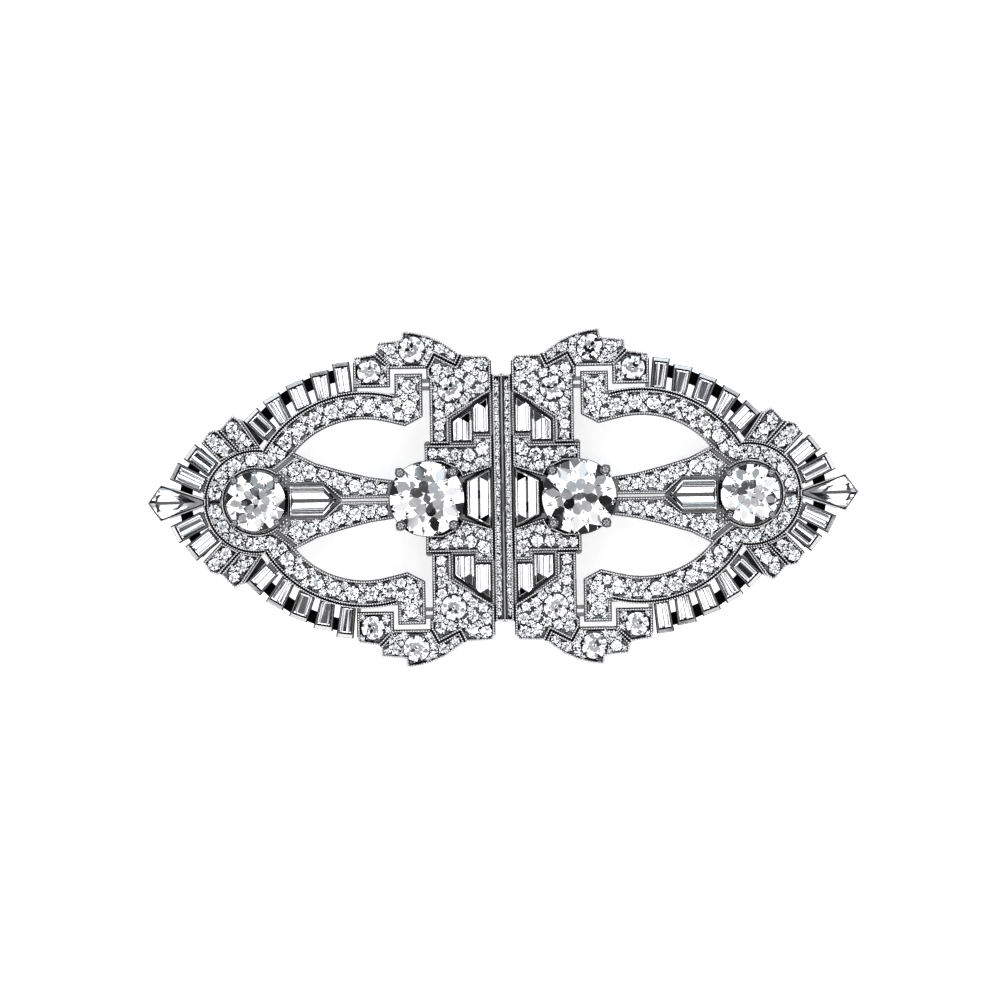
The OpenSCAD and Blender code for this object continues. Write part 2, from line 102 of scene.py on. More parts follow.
# Baguettes: inner end's centre u and v, outer end's centre u and v, inner and outer width
BAGUETTES = [
    (26.1, 7.6, 28.3, 9.8, 1.75, 2.0),
    (24.25, 8.8, 25.95, 11.75, 1.4, 1.95),
    (22.2, 10.4, 23.3, 13.3, 1.75, 1.95),
    (19.9, 11.25, 20.5, 14.5, 1.45, 2.0),
    (17.6, 11.95, 18.05, 15.45, 1.5, 1.75),
    (33.6, 1.9, 36.98, 3.6, 1.75, 1.95),
    (32.55, 3.65, 35.2, 5.75, 1.75, 1.9),
]

# Rounds: u, v and radius
CORNER_ROUND = (10, 16.8, 1.45)
SHOULDER_ROUND = (5.75, 12.3, 1.4)
PANEL_ROUND = (14.85, 14.4, 1.3)
BLOCK_ROUNDS = [(2.15, 15.1, 0.66), (3.65, 14.85, 0.65), (2.1, 13.6, 0.62), (3.5, 13.3, 0.58),
                (7.25, 14.55, 0.6)]
CROWN_ROUNDS = [(5.6, 16.05, 0.44), (6.9, 16.85, 0.55), (8.1, 17.5, 0.42), (12.5, 16.85, 0.62),
                (12.3, 15.55, 0.38)]
BAR_ROUNDS = [(7.05, 7 + 1.22 * k, 0.54) for k in range(4)]
MEMBER_ROUNDS = [(7.85, 5.1, 0.55), (6.6, 5.15, 0.56), (5.2, 4.95, 0.6), (3.75, 4.9, 0.68),
                 (2.2, 5.5, 0.74)]
STEM_ROUNDS = [(13.55, 1.25, 0.58), (15.05, 1.4, 0.62), (16.65, 1.6, 0.68), (18.4, 2, 0.74),
               (20.1, 2.9, 0.67), (21.75, 3.25, 0.76), (23.4, 3.5, 0.7)]
TIP_BAR_ROUNDS = [(28.6, 6.65, 0.42), (29.5, 7.3, 0.64), (30.4, 8.4, 0.62),
                  (31.3, 5.8, 0.64), (32.6, 6.95, 0.68)]
HOOK_ROUNDS = [(10.45, 10.35, 0.78), (10.45, 12.6, 0.76), (26.15, 4.75, 0.7)]


def on_circle(centre, r, degrees):
    angle = math.radians(degrees)
    return (centre[0] + r * math.cos(angle), centre[1] + r * math.sin(angle))


def curved_row(centre, row_r, first, step, stone_r, count):
    """Stones of one size at even steps, in degrees, along an arc."""
    return [on_circle(centre, row_r, first + step * k) + (stone_r,) for k in range(count)]


ARC_ROUNDS = curved_row(ARC_CENTRE, 11.65, 41, 10.4, 0.78, 7)
RING_ROUNDS = curved_row((END_U, 0), 4.78, -84, 24, 0.72, 8)
PLATE_ROUNDS = BLOCK_ROUNDS + CROWN_ROUNDS + BAR_ROUNDS + MEMBER_ROUNDS
MEDIUM_ROUNDS = [CORNER_ROUND, SHOULDER_ROUND, PANEL_ROUND]

# Detail that only the looks have, in millimetres and degrees
SPINE_STONE_R = 0.35
SPINE_PITCH = 0.78
SPINE_GIRDLE_Z = 5.98
SPINE_MIDDLE_U = 0.57
SPINE_BED = [(0.35, -0.2), (0.92, -0.2), (0.92, 13.75), (0.35, 13.75)]
SPINE_END_GAP = 0.4
ARC_BED_ANGLES = (37.5, 105)
RING_BED_ANGLES = (-1, 112)
BAND_W = 0.5
COLLET_GAP = 0.2
END_COLLET_R = END_R + 0.3
END_RIM_R = END_R + 0.33
# The beds end before these distances from the seam and the axis
FIELD_U = 34.2
FIELD_V = 19.2
AXIS_GAP = 0.02
# Metal of the beds: it falls from the rims, and each stone has a seat in it
SHEET_PITCH = 0.11
SHEET_FIRST_U = 0.2
SHEET_Z = 5.76
SHEET_BOTTOM_Z = 4.45
SHEET_MARGIN = 0.12
SHEET_EDGE_DROP = 0.04
SHEET_EDGE_FALL = 1.1
SHEET_LEAST_T = 0.1
SEAT_DROP = 0.14
SEAT_FALL = 0.95
SEAT_MARGIN = 0.03
GRAIN_R = 0.17
GRAIN_Z = 5.84
# Grains stand at some of these places round a stone
GRAIN_OFFSET = 0.09
GRAIN_PLACES = 18
GRAIN_PLACES_APART = 3
GRAINS_A_STONE = 4
GRAIN_CLEAR = 0.04
GRAIN_APART = 0.24
GRAIN_BED_BIAS = 0.12
BEAD_R = 0.13
BEAD_PITCH = 0.29
BEAD_APART = 0.14
BEAD_SIDES = 6
BEAD_RINGS = ((1.0, 0.0), (0.8, 0.6))
BEADS_REMEMBERED = 12
WINDOW_BEADS_OUT = 0.15
WINDOW_BEADS_Z = RIM_Z - 0.02
FILLER_R = (0.24, 0.52)
FILLER_GAP = 0.05
FILLER_STEP = 0.08
FILLER_FIRST_U = 0.3
# Stones above these radii are medium ones, and small ones with the full old cut
MEDIUM_R = 1
FINE_CUT_R = 0.5
# How far a stone may lean, in radians
SMALL_LEAN = 0.16
LARGE_LEAN = 0.007
BAGUETTE_INSET = 0.12
BAGUETTE_CROWN_H = 0.16
# Depth below the girdle, as a share of the half width
BAGUETTE_DEPTH = 0.94
BEZEL_INSET = 0.09
BULLET_GIRDLE_Z = BULLET_TOP_Z + 0.02
KITE_GIRDLE_Z = KITE_TOP_Z + 0.12
KITE_SPREAD = 0.02
END_BLOCK = 0.5
INNER_BLOCK_MARGIN = 0.03
OUTER_BLOCK_MARGIN = 0.04
BLOCK_LAP = 0.02
BAND_LAP = 0.15
INNER_BLOCK_PROFILE = [(0.0, 5.0), (0.0, 5.95), (0.1, 6.0), (0.2, 5.86)]
BLOCK_PROFILE = [(0.42, 4.7), (0.01, 4.7), (0.01, 5.84), (0.1, 5.985), (0.4, 6.02), (0.42, 6.0)]

# Plane geometry

ARC_STEP = 2.0


def signed_area(polygon):
    turns = zip(polygon, polygon[1:] + polygon[:1])
    return sum(a[0] * b[1] - b[0] * a[1] for a, b in turns) / 2


def anticlockwise(polygon):
    return list(polygon) if signed_area(polygon) > 0 else list(reversed(polygon))


def inward(a, b):
    e = (Vector(b) - Vector(a)).normalized()
    return Vector((-e.y, e.x))


def inset(polygon, d):
    """The outline with each side moved inwards by d."""
    p = anticlockwise(polygon)
    moved = []
    for i, corner in enumerate(p):
        a = inward(p[i - 1], corner)
        b = inward(corner, p[(i + 1) % len(p)])
        q = Vector(corner) + d * (a + b) / (1 + a.dot(b))
        moved.append((q.x, q.y))
    return moved


def arc_line(centre, r, start, end):
    count = max(2, round(abs(end - start) / ARC_STEP))
    return [on_circle(centre, r, start + (end - start) * k / count) for k in range(count + 1)]


def ring_sector(centre, radii, start, end):
    outer = arc_line(centre, radii[1], start, end)
    return outer + list(reversed(arc_line(centre, radii[0], start, end)))


def evenly(path, pitch, closed=False):
    """Points at even steps along a line."""
    line = [Vector(p) for p in path]
    if closed:
        line.append(line[0])
    lengths = [(b - a).length for a, b in zip(line, line[1:])]
    total = sum(lengths)
    count = max(2, round(total / pitch))
    steps = [total * k / count for k in range(count if closed else count + 1)]
    points = []
    passed = 0.0
    leg = 0
    for s in steps:
        while leg < len(lengths) - 1 and s > passed + lengths[leg]:
            passed += lengths[leg]
            leg += 1
        points.append(line[leg].lerp(line[leg + 1], (s - passed) / lengths[leg]))
    return [(p.x, p.y) for p in points]


def depth_in(points, polygon):
    """How far each point lies inside the outline, negative outside."""
    p = np.asarray(points, float)
    distance = np.full(len(p), np.inf)
    inside = np.zeros(len(p), bool)
    for a, b in zip(polygon, polygon[1:] + polygon[:1]):
        a, b = np.array(a, float), np.array(b, float)
        edge = b - a
        share = np.clip(((p - a) @ edge) / (edge @ edge), 0, 1)
        distance = np.minimum(distance, np.linalg.norm(p - a - share[:, None] * edge, axis=1))
        crosses = (a[1] > p[:, 1]) != (b[1] > p[:, 1])
        rise = b[1] - a[1] if b[1] != a[1] else 1.0
        inside ^= crosses & (p[:, 0] < a[0] + (p[:, 1] - a[1]) * edge[0] / rise)
    return np.where(inside, distance, -distance)


# Fields of small stones


def bed_outlines():
    cut = [inset(p, RIM_W) for p in (BLOCK, CROWN_TOP, PANEL, MEMBER, BAR_TWO, BAR_ONE)]
    arc = ring_sector(ARC_CENTRE, (ARC_INNER_R + RIM_W, ARC_OUTER_R - BAND_W), *ARC_BED_ANGLES)
    ring = ring_sector((END_U, 0), RING_BED_R, *RING_BED_ANGLES)
    return cut + [SPINE_BED, arc, ring, HOOK_BED, JUNCTION_BED, STEM_BED]


BEDS = bed_outlines()


def bed_depth(points):
    """How far each point lies inside the beds, negative on the rims and outside."""
    p = np.asarray(points, float)
    depth = np.max([depth_in(p, bed) for bed in BEDS], axis=0)
    for u, r in ((LARGE_U, LARGE_R + COLLET_GAP), (END_U, RING_BED_R[0])):
        depth = np.minimum(depth, np.hypot(p[:, 0] - u, p[:, 1]) - r)
    return depth


def spine_stones():
    count = int(SPINE_TOP / SPINE_PITCH)
    rows = [(SPINE_MIDDLE_U, SPINE_PITCH * (k + 0.5), SPINE_STONE_R) for k in range(count)]
    return [s for s in rows if s[1] < SPINE_TOP - SPINE_END_GAP]


def known_stones():
    small = PLATE_ROUNDS + STEM_ROUNDS + TIP_BAR_ROUNDS + HOOK_ROUNDS + ARC_ROUNDS + RING_ROUNDS
    return small + MEDIUM_ROUNDS + spine_stones()


def filler_stones():
    """Tiny stones in the places that the charted ones leave open, the widest place first."""
    us = np.arange(FILLER_FIRST_U, CLIP_LENGTH, FILLER_STEP)
    vs = np.arange(FILLER_STEP / 2, FIELD_V, FILLER_STEP)
    grid = np.array([(u, v) for u in us for v in vs])
    room = bed_depth(grid)
    wide = room > FILLER_R[0]
    grid, room = grid[wide], room[wide]
    for u, v, r in known_stones():
        room = np.minimum(room, np.hypot(grid[:, 0] - u, grid[:, 1] - v) - r - FILLER_GAP)
    room = np.minimum(room, grid[:, 1] - AXIS_GAP)
    found = []
    while room.max() > FILLER_R[0]:
        best = int(room.argmax())
        r = min(float(room[best]), FILLER_R[1])
        found.append((float(grid[best, 0]), float(grid[best, 1]), r))
        room = np.minimum(room, np.hypot(*(grid - grid[best]).T) - r - FILLER_GAP)
    return found


FILLERS = filler_stones()
BED_STONES = known_stones() + FILLERS


def grain_points():
    """Up to four grains round each stone, at its roomiest sides."""
    centres = np.array([s[:2] for s in BED_STONES])
    radii = np.array([s[2] for s in BED_STONES])
    grains = []
    for u, v, r in BED_STONES:
        ring = [on_circle((u, v), r + GRAIN_OFFSET, 360 / GRAIN_PLACES * k)
                for k in range(GRAIN_PLACES)]
        clear = [float((np.hypot(*(centres - p).T) - radii).min()) for p in ring]
        depth = bed_depth(ring)
        room = np.minimum(clear, depth + GRAIN_BED_BIAS)
        order = sorted(range(GRAIN_PLACES), key=lambda k: -room[k])
        taken = []
        for k in order:
            steps = [min(abs(k - t), GRAIN_PLACES - abs(k - t)) for t in taken]
            apart = all(step >= GRAIN_PLACES_APART for step in steps)
            free = all(math.dist(ring[k], g) > GRAIN_APART for g in grains)
            fits = clear[k] > GRAIN_CLEAR and depth[k] > 0.0 and apart and free
            if fits and len(taken) < GRAINS_A_STONE:
                taken.append(k)
                grains.append(ring[k])
    return [g for g in grains if g[1] > 0]


# Meshes


class Shape:
    """Points and faces of one piece, in millimetres."""

    def __init__(self):
        self.points = []
        self.faces = []

    def add(self, points, faces):
        start = len(self.points)
        self.points.extend(tuple(p) for p in points)
        self.faces.extend(tuple(start + i for i in face) for face in faces)

    def mirrored(self, side, half):
        other = Shape()
        other.points = [(side * x, half * y, z) for x, y, z in self.points]
        flip = side * half < 0
        other.faces = [tuple(reversed(f)) if flip else f for f in self.faces]
        return other

    def join(self, other):
        self.add(other.points, other.faces)

    def build(self, name, material, body, smooth=False):
        mesh = bpy.data.meshes.new(name)
        mesh.from_pydata([(x * MM, y * MM, z * MM) for x, y, z in self.points], [], self.faces)
        mesh.update()
        mesh.polygons.foreach_set("use_smooth", [smooth] * len(mesh.polygons))
        mesh.materials.append(material)
        piece = bpy.data.objects.new(name, mesh)
        bpy.context.scene.collection.objects.link(piece)
        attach(piece, body)
        return piece


BLANK_SIZE = 8
FOLD = 8
# Step cut stones: half height of the girdle, then slopes in degrees, and where the upper step is
KEEL_GIRDLE = 0.02
KEEL_CROWN_H = 0.2
CROWN_EDGE_SLOPE = 45
CROWN_STEP_SLOPE = 24
CROWN_STEP_IN = 0.1
CROWN_STEP_SHARE = 0.7
KITE_CROWN_TURNS = (-20, 20)
END_SLOPE = 70
STEEP_END = 80
LEAST_END_TURN = 0.1
# Their long facets below the girdle: share of the half width where each starts, and slope
WIDE_KEEL = [(0.0, 46.0), (0.15, 40.5)]
TRAPEZE_KEEL = [(0.0, 46.0), (0.1, 43.0)]
KITE_KEEL = [(0.0, 42.0), (0.3, 40.0)]
SLIM_KEEL = [(0.0, 50.0), (0.2, 46.0), (0.4, 41.0)]
# Directions in which the long facets run
ALONG_CLIP = (1, 0)
ALONG_SEAM = (0, 1)


def polar(r, degrees, z):
    x, y = on_circle((0, 0), r, degrees)
    return Vector((x, y, z))


def through(a, b, c):
    """The plane through three points, facing away from the middle of the stone."""
    normal = (b - a).cross(c - a).normalized()
    if normal.dot(a) < 0:
        normal.negate()
    return normal, normal.dot(a)


def gem_from(planes):
    """Points and faces of the convex stone that these planes bound."""
    bm = bmesh.new()
    bmesh.ops.create_cube(bm, size=BLANK_SIZE)
    for normal, distance in planes:
        everything = bm.verts[:] + bm.edges[:] + bm.faces[:]
        cut = bmesh.ops.bisect_plane(
            bm, geom=everything, dist=1e-6, plane_co=normal * distance, plane_no=normal,
            clear_outer=True)
        edges = [e for e in cut["geom_cut"] if isinstance(e, bmesh.types.BMEdge)]
        if edges:
            bmesh.ops.edgeloop_fill(bm, edges=edges)
    bmesh.ops.recalc_face_normals(bm, faces=bm.faces[:])
    points = [v.co.copy() for v in bm.verts]
    bm.verts.index_update()
    faces = [[v.index for v in f.verts] for f in bm.faces]
    bm.free()
    return points, faces


def round_cut(table_r, crown_h, star_r, pavilion, low_r, culet_r, girdle, sides):
    """A round stone of radius 1: table, stars, mains and halves, round girdle, pavilion, culet."""
    step = 360 / FOLD
    half = step / 2
    slope = crown_h / (1 - table_r)
    top = girdle + crown_h
    star_z = girdle + slope * (1 - star_r * math.cos(math.radians(half)))
    low_z = -girdle - pavilion * (1 - low_r * math.cos(math.radians(half)))
    tip = Vector((0, 0, -girdle - pavilion))
    planes = [(Vector((0, 0, 1)), top), (Vector((0, 0, -1)), girdle + pavilion * (1 - culet_r))]
    for k in range(FOLD):
        at = k * step
        star = polar(star_r, at + half, star_z)
        low = polar(low_r, at + half, low_z)
        planes.append(through(polar(1, at, girdle), polar(table_r, at, top), star))
        planes.append(through(polar(table_r, at, top), polar(table_r, at + step, top), star))
        planes.append(through(polar(1, at, girdle), polar(1, at + half, girdle), star))
        planes.append(through(polar(1, at + step, girdle), polar(1, at + half, girdle), star))
        planes.append(through(polar(1, at, -girdle), tip, low))
        planes.append(through(polar(1, at, -girdle), polar(1, at + half, -girdle), low))
        planes.append(through(polar(1, at + step, -girdle), polar(1, at + half, -girdle), low))
    for k in range(sides):
        planes.append((polar(1, 360 * k / sides, 0), 1.0))
    return gem_from(planes)


def single_cut(table_r, crown_h, pavilion, culet_r, girdle, sides):
    """A small round stone of radius 1 with eight facets above and eight below."""
    step = 360 / FOLD
    crown_slope = crown_h / (1 - table_r)
    planes = [(Vector((0, 0, 1)), girdle + crown_h),
              (Vector((0, 0, -1)), girdle + pavilion * (1 - culet_r))]
    for k in range(FOLD):
        for at, slope, up in ((step * k, crown_slope, 1), (step * (k + 0.5), pavilion, -1)):
            normal = (polar(slope, at, 0) + Vector((0, 0, up))).normalized()
            foot = polar(1, at, up * girdle)
            planes.append((normal, normal.dot(foot)))
    for k in range(sides):
        planes.append((polar(1, 360 * k / sides, 0), 1.0))
    return gem_from(planes)


def sloped_plane(n, slope, up, foot, level):
    """A plane through this foot that faces n and tilts up or down."""
    tilt = math.radians(slope)
    normal = Vector((n.x * math.sin(tilt), n.y * math.sin(tilt), up * math.cos(tilt)))
    return normal, normal.dot(Vector((foot.x, foot.y, level)))


def facet(a, b, offset, slope, up, level, turn=0):
    """A facet plane this far inside the side from a to b, turned a little."""
    n = -inward(a, b)
    foot = (Vector(a) + Vector(b)) / 2 - n * offset
    n.rotate(Matrix.Rotation(math.radians(turn), 2))
    return sloped_plane(n, slope, up, foot, level)


def keel_cut(sides, top, depth, half_w, along, long_facets, end_slope, crown_turns=(0,)):
    """A step cut stone whose long facets run from end to end, with steep facets at the ends."""
    planes = [(Vector((0, 0, 1)), top), (Vector((0, 0, -1)), depth)]
    along = Vector(along)
    across = Vector((-along.y, along.x))
    for a, b in sides:
        planes.append(facet(a, b, 0, 90, 1, 0))
        planes.append(facet(a, b, 0, CROWN_EDGE_SLOPE, 1, KEEL_GIRDLE))
        for turn in crown_turns:
            level = top * CROWN_STEP_SHARE
            planes.append(facet(a, b, CROWN_STEP_IN, CROWN_STEP_SLOPE, 1, level, turn))
        if abs(inward(a, b).dot(along)) > LEAST_END_TURN:
            planes.append(facet(a, b, 0, end_slope, -1, -KEEL_GIRDLE))
    ends = [share for share, slope in long_facets[1:]] + [1.0]
    for n in (across, -across):
        level = -KEEL_GIRDLE
        for (share, slope), after in zip(long_facets, ends):
            planes.append(sloped_plane(n, slope, -1, n * half_w * (1 - share), level))
            level -= (after - share) * half_w * math.tan(math.radians(slope))
    return gem_from(planes)


OLD_CUT = round_cut(table_r=0.5, crown_h=0.3, star_r=0.74, pavilion=0.87, low_r=0.42,
                    culet_r=0.1, girdle=0.015, sides=48)
SMALL_OLD_CUT = round_cut(table_r=0.52, crown_h=0.3, star_r=0.75, pavilion=0.86, low_r=0.45,
                          culet_r=0.08, girdle=0.025, sides=32)
SINGLE_CUT = single_cut(table_r=0.58, crown_h=0.28, pavilion=0.86, culet_r=0.05, girdle=0.03,
                        sides=24)


def set_stone(shape, gem, centre, r, spin, tilt):
    turn = Matrix.Rotation(tilt[0], 3, "X") @ Matrix.Rotation(tilt[1], 3, "Y")
    turn = turn @ Matrix.Rotation(spin, 3, "Z")
    place = Vector(centre)
    points, faces = gem
    shape.add([place + r * (turn @ p) for p in points], faces)


# Materials, with lengths in metres as the shaders measure them

NOISE_ROUGHNESS = 0.6
MATTE_SPREAD = (0.3, 0.7)
# Painted shade: ambient occlusion darkens the metal's colour in narrow places
RECESS_REACH = 0.0007
RECESS_OPEN = (0.35, 0.95)
RECESS_SHADE = 0.1
RECESS_SAMPLES = 6
# Painted shade on upward faces low in the beds, the floors under the stones
SUNK_Z = (0.00485, 0.00505)
SUNK_SHADE = 0.06
FACING_UP = (0.5, 0.8)
# Painted shade on the side walls, darker towards the bottom
SIDE_Z = (0.0036, 0.0059)
SIDE_SHADE = 0.3
# Claws painted darker above this height, standing in for their dark reflections
CLAW_Z = (0.0076, 0.0078)
CLAW_SHADE = 0.45
BUMP_DEPTH = 0.00002
BUMP_STRENGTH = 0.12
BUMP_FINER = 9
DIAMOND_IOR = 2.42


def new_material(name):
    material = bpy.data.materials.new(name)
    material.use_nodes = True
    nodes = material.node_tree.nodes
    return material, nodes, material.node_tree.links, nodes["Principled BSDF"]


def add_noise(nodes, links, scale, detail=4.0):
    where = nodes.new("ShaderNodeTexCoord")
    noise = nodes.new("ShaderNodeTexNoise")
    noise.inputs["Scale"].default_value = scale
    noise.inputs["Detail"].default_value = detail
    noise.inputs["Roughness"].default_value = NOISE_ROUGHNESS
    links.new(where.outputs["Object"], noise.inputs["Vector"])
    return noise.outputs["Fac"]


def add_range(nodes, links, value, source, target):
    """The value, brought from the source range to the target range."""
    band = nodes.new("ShaderNodeMapRange")
    sockets = ("From Min", "From Max", "To Min", "To Max")
    for socket, number in zip(sockets, (*source, *target)):
        band.inputs[socket].default_value = number
    links.new(value, band.inputs["Value"])
    return band.outputs["Result"]


def add_ramp(nodes, links, value, stops):
    """A colour that follows the value, from stops of position and colour."""
    node = nodes.new("ShaderNodeValToRGB")
    elements = node.color_ramp.elements
    while len(elements) < len(stops):
        elements.new(0.5)
    for element, (position, colour) in zip(elements, stops):
        element.position = position
        element.color = (*colour, 1)
    links.new(value, node.inputs["Fac"])
    return node.outputs["Color"]


def add_math(nodes, links, operation, *values):
    """Arithmetic on one or two values, each an output or a number."""
    node = nodes.new("ShaderNodeMath")
    node.operation = operation
    for value, socket in zip(values, node.inputs):
        if isinstance(value, float):
            socket.default_value = value
        else:
            links.new(value, socket)
    return node.outputs[0]


def add_product(nodes, links, colour, other):
    mix = nodes.new("ShaderNodeMix")
    mix.data_type = "RGBA"
    mix.blend_type = "MULTIPLY"
    mix.inputs["Factor"].default_value = 1.0
    links.new(colour, mix.inputs["A"])
    links.new(other, mix.inputs["B"])
    return mix.outputs["Result"]


def add_axes(nodes, links, vector):
    parts = nodes.new("ShaderNodeSeparateXYZ")
    links.new(vector, parts.inputs["Vector"])
    return parts.outputs


def recess_shade(nodes, links, reach):
    """Painted shade in narrow places: ambient occlusion darkens the colour."""
    recess = nodes.new("ShaderNodeAmbientOcclusion")
    recess.samples = RECESS_SAMPLES
    recess.inputs["Distance"].default_value = reach
    return add_range(nodes, links, recess.outputs["AO"], RECESS_OPEN, (RECESS_SHADE, 1.0))


def height_shade(nodes, links):
    """Painted shade: dark floors under the stones, side walls that darken downwards, and claws
    painted darker, standing in for their dark reflections.
    """
    place = nodes.new("ShaderNodeNewGeometry")
    height = add_axes(nodes, links, place.outputs["Position"])["Z"]
    facing = add_axes(nodes, links, place.outputs["Normal"])["Z"]
    sunk = nodes.new("ShaderNodeMix")
    sunk.inputs["A"].default_value = 1.0
    upward = add_range(nodes, links, facing, FACING_UP, (0.0, 1.0))
    links.new(upward, sunk.inputs["Factor"])
    links.new(add_range(nodes, links, height, SUNK_Z, (SUNK_SHADE, 1.0)), sunk.inputs["B"])
    side = add_range(nodes, links, height, SIDE_Z, (SIDE_SHADE, 1.0))
    claw = add_range(nodes, links, height, CLAW_Z, (1.0, CLAW_SHADE))
    walls = add_math(nodes, links, "MULTIPLY", side, claw)
    return add_math(nodes, links, "MULTIPLY", sunk.outputs["Result"], walls)


def metal_material(name, light, dark, roughness, reach=RECESS_REACH, grain_scale=600.0,
                   by_height=True):
    """Metal with a fine grain, painted shade in its recesses and, on the mounts, painted shade by
    its height.
    """
    material, nodes, links, shader = new_material(name)
    noise = add_noise(nodes, links, grain_scale)
    colour = add_ramp(nodes, links, noise, list(zip(MATTE_SPREAD, (dark, light))))
    shade = recess_shade(nodes, links, reach)
    if by_height:
        shade = add_math(nodes, links, "MULTIPLY", shade, height_shade(nodes, links))
    links.new(add_product(nodes, links, colour, shade), shader.inputs["Base Color"])
    rough = add_range(nodes, links, noise, MATTE_SPREAD, roughness)
    links.new(rough, shader.inputs["Roughness"])
    bump = nodes.new("ShaderNodeBump")
    bump.inputs["Strength"].default_value = BUMP_STRENGTH
    bump.inputs["Distance"].default_value = BUMP_DEPTH
    links.new(add_noise(nodes, links, grain_scale * BUMP_FINER, 2.0), bump.inputs["Height"])
    links.new(bump.outputs["Normal"], shader.inputs["Normal"])
    shader.inputs["Metallic"].default_value = 1.0
    return material


def diamond_material(name, light, dark):
    material, nodes, links, shader = new_material(name)
    noise = add_noise(nodes, links, 900.0, 3.0)
    colour = add_ramp(nodes, links, noise, [(0.35, dark), (0.6, light)])
    links.new(colour, shader.inputs["Base Color"])
    shader.inputs["Transmission Weight"].default_value = 1.0
    shader.inputs["IOR"].default_value = DIAMOND_IOR
    shader.inputs["Roughness"].default_value = 0.0
    return material


PLATINUM = metal_material("platinum", (0.78, 0.78, 0.785), (0.62, 0.62, 0.63), (0.12, 0.24))
# A darker copy of the platinum for the metal between the small stones: painted shade
SHADED_PAVE_METAL = metal_material("platinum_pave_painted_shade", (0.6, 0.6, 0.61), (0.36, 0.36, 0.37), (0.14, 0.3),
                            reach=0.0004)
# A lighter copy of the platinum for the beads and grains: painted light
LIT_BEAD_METAL = metal_material("platinum_beads_painted_light", (0.92, 0.92, 0.92), (0.74, 0.74, 0.75), (0.1, 0.2),
                            reach=0.0003)
# Near-black metal for strips that paint the shade in gaps, recesses and along walls
SHADE_STRIP_METAL = metal_material("painted_shade_metal", (0.09, 0.09, 0.1), (0.03, 0.03, 0.03), (0.3, 0.5))
STEEL = metal_material("fitting_metal", (0.6, 0.6, 0.62), (0.46, 0.46, 0.48), (0.22, 0.36),
                       grain_scale=400.0, by_height=False)
DIAMOND = diamond_material("diamond", (0.98, 0.99, 1.0), (0.93, 0.95, 0.99))

# Pieces


def sheet_height(points):
    """Top of the metal between the stones, with a seat under each stone."""
    p = np.asarray(points, float)
    depth = bed_depth(p)
    z = np.full(len(p), SHEET_Z)
    z = np.maximum(z, RIM_Z - SHEET_EDGE_DROP - SHEET_EDGE_FALL * np.maximum(depth, 0))
    for u, v, r in BED_STONES:
        d = np.hypot(p[:, 0] - u, p[:, 1] - v)
        girdle = MEDIUM_GIRDLE_Z if r > MEDIUM_R else SMALL_GIRDLE_Z
        seat = np.maximum(girdle - SEAT_DROP - SEAT_FALL * (r - d), SHEET_BOTTOM_Z + SHEET_LEAST_T)
        z = np.where(d < r + SEAT_MARGIN, np.minimum(z, seat), z)
    return z


def bed_sheet():
    """Closed sheet of metal over the beds of the upper half."""
    us = np.arange(SHEET_FIRST_U, FIELD_U, SHEET_PITCH)
    vs = np.arange(0, FIELD_V, SHEET_PITCH)
    grid = np.array([(u, v) for u in us for v in vs])
    keep = (bed_depth(grid) > -SHEET_MARGIN).reshape(len(us), len(vs))
    heights = sheet_height(grid)
    cells = keep[:-1, :-1] & keep[1:, :-1] & keep[:-1, 1:] & keep[1:, 1:]
    index = -np.ones(len(grid), int)
    shape = Shape()

    def corner(i, j):
        k = i * len(vs) + j
        if index[k] < 0:
            index[k] = len(shape.points)
            u, v = grid[k]
            shape.points.append((u, v, float(heights[k])))
            shape.points.append((u, v, SHEET_BOTTOM_Z))
        return int(index[k])

    count_u, count_v = cells.shape
    for i in range(count_u):
        for j in range(count_v):
            if not cells[i, j]:
                continue
            a, b = corner(i, j), corner(i + 1, j)
            c, d = corner(i + 1, j + 1), corner(i, j + 1)
            shape.faces.append((a, b, c, d))
            shape.faces.append((d + 1, c + 1, b + 1, a + 1))
            sides = ((0, -1, a, b), (1, 0, b, c), (0, 1, c, d), (-1, 0, d, a))
            for di, dj, p, q in sides:
                x, y = i + di, j + dj
                if not (0 <= x < count_u and 0 <= y < count_v and cells[x, y]):
                    shape.faces.append((q, p, p + 1, q + 1))
    return shape


def bead(shape, centre, r):
    """A low round grain."""
    x, y, z = centre
    m = BEAD_SIDES
    points = []
    for share, h in BEAD_RINGS:
        for k in range(m):
            points.append((*on_circle((x, y), r * share, 360 / m * k), z + r * h))
    points.append((x, y, z + r))
    faces = [tuple(reversed(range(m)))]
    for k in range(m):
        n = (k + 1) % m
        faces.append((k, n, m + n, m + k))
        faces.append((m + k, m + n, 2 * m))
    shape.add(points, faces)


# Borders: across the rim from the outline inwards, and height
SLOPED_RIM = [(0.0, 5.9), (0.0, 6.0), (0.17, 6.18), (0.3, 6.14), (0.3, 5.9)]
EDGE_LINE = [(0.0, 5.9), (0.0, 6.05), (0.13, 6.11), (0.15, 5.9)]
INNER_LINE = [(0.36, 5.9), (0.36, 6.05), (0.43, 6.16), (0.52, 6.12), (0.52, 5.9)]
# Painted shade: a flat strip of near-black metal along the polished bands
BAND_SHADE_STRIP = [(0.15, 5.9), (0.15, 6.02), (0.35, 6.02), (0.35, 5.9)]
NARROW_RIM = [(0.0, 5.9), (0.0, 6.0), (0.1, 6.12), (0.24, 6.08), (0.24, 5.9)]
RIM_BEADS = [(0.2, 6.17)]
EDGE_BEADS = [(0.09, 6.12)]
BAND_BEADS = [(0.44, 6.16)]
NARROW_BEADS = [(0.17, 6.08)]
END_COLLET = [(0.0, 5.9), (0.0, 6.1), (0.24, 6.35), (0.28, 6.3), (0.28, 5.9)]
